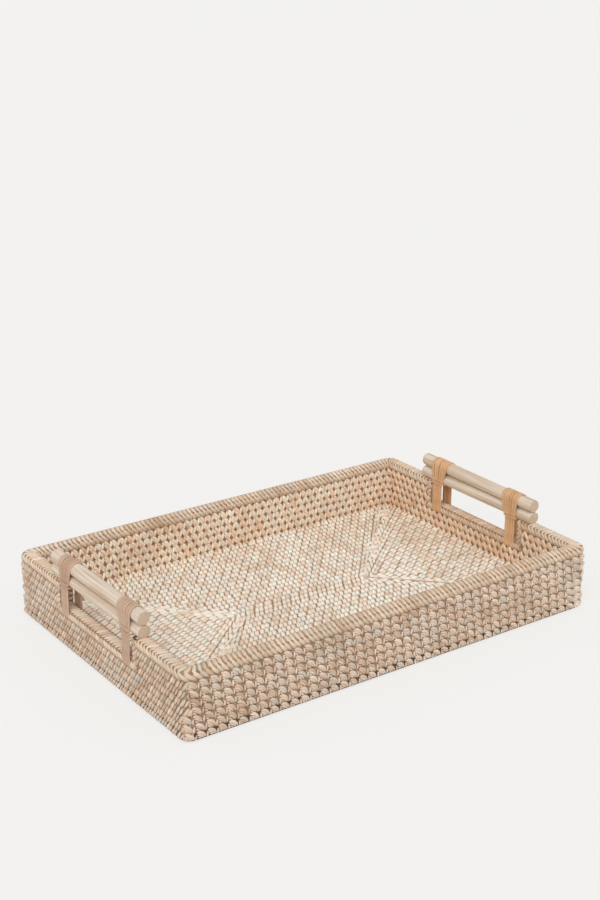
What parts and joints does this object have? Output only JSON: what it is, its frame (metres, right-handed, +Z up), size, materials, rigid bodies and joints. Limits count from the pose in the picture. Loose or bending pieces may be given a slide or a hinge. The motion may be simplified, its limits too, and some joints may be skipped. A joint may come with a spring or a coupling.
{
  "type": "serving tray",
  "caption": "Shallow rectangular coil-woven rattan tray with lowered openings in the short walls, each under a handle of two stacked rods lashed on with flat straps",
  "frame": {"origin": "centre of the tray on the surface it rests on", "axes": "+X along the tray towards one handle, +Y across it, +Z up"},
  "size_m": [0.455, 0.302, 0.0898],
  "materials": {
    "wall_peel": "whitewashed rattan peel, matte",
    "floor_peel": "whitewashed rattan peel, matte",
    "rim_peel": "whitewashed rattan peel wrapped close, matte",
    "reed": "raw cane reed",
    "rod": "sanded, whitewashed rattan pole, satin",
    "strap": "flat rattan peel, satin"
  },
  "bodies": {
    "root": {"dip_reeds_left": "reed", "dip_reeds_right": "reed", "dip_rim_left": "rim_peel", "dip_rim_right": "rim_peel", "floor_reeds": "reed", "floor_row_01": "floor_peel", "floor_row_02": "floor_peel", "floor_row_03": "floor_peel", "floor_row_04": "floor_peel", "floor_row_05": "floor_peel", "floor_row_06": "floor_peel", "floor_row_07": "floor_peel", "floor_row_08": "floor_peel", "floor_row_09": "floor_peel", "floor_row_10": "floor_peel", "floor_row_11": "floor_peel", "floor_row_12": "floor_peel", "floor_row_13": "floor_peel", "floor_row_14": "floor_peel", "floor_row_15": "floor_peel", "floor_row_16": "floor_peel", "floor_row_17": "floor_peel", "floor_spine": "floor_peel", "left_binding_back": "strap", "left_binding_front": "strap", "left_rod_lower": "rod", "left_rod_upper": "rod", "left_strap_back": "strap", "left_strap_front": "strap", "right_binding_back": "strap", "right_binding_front": "strap", "right_rod_lower": "rod", "right_rod_upper": "rod", "right_strap_back": "strap", "right_strap_front": "strap", "rim_back": "rim_peel", "rim_front": "rim_peel", "rim_reeds_back": "reed", "rim_reeds_front": "reed", "wall_course_1": "wall_peel", "wall_course_2": "wall_peel", "wall_course_3": "wall_peel", "wall_course_4": "wall_peel", "wall_course_5_back": "wall_peel", "wall_course_5_front": "wall_peel", "wall_course_6_back": "wall_peel", "wall_course_6_front": "wall_peel", "wall_course_7_back": "wall_peel", "wall_course_7_front": "wall_peel", "wall_reeds_1": "reed", "wall_reeds_2": "reed", "wall_reeds_3": "reed", "wall_reeds_4": "reed", "wall_reeds_5_back": "reed", "wall_reeds_5_front": "reed", "wall_reeds_6_back": "reed", "wall_reeds_6_front": "reed", "wall_reeds_7_back": "reed", "wall_reeds_7_front": "reed"}
  },
  "joints": []
}
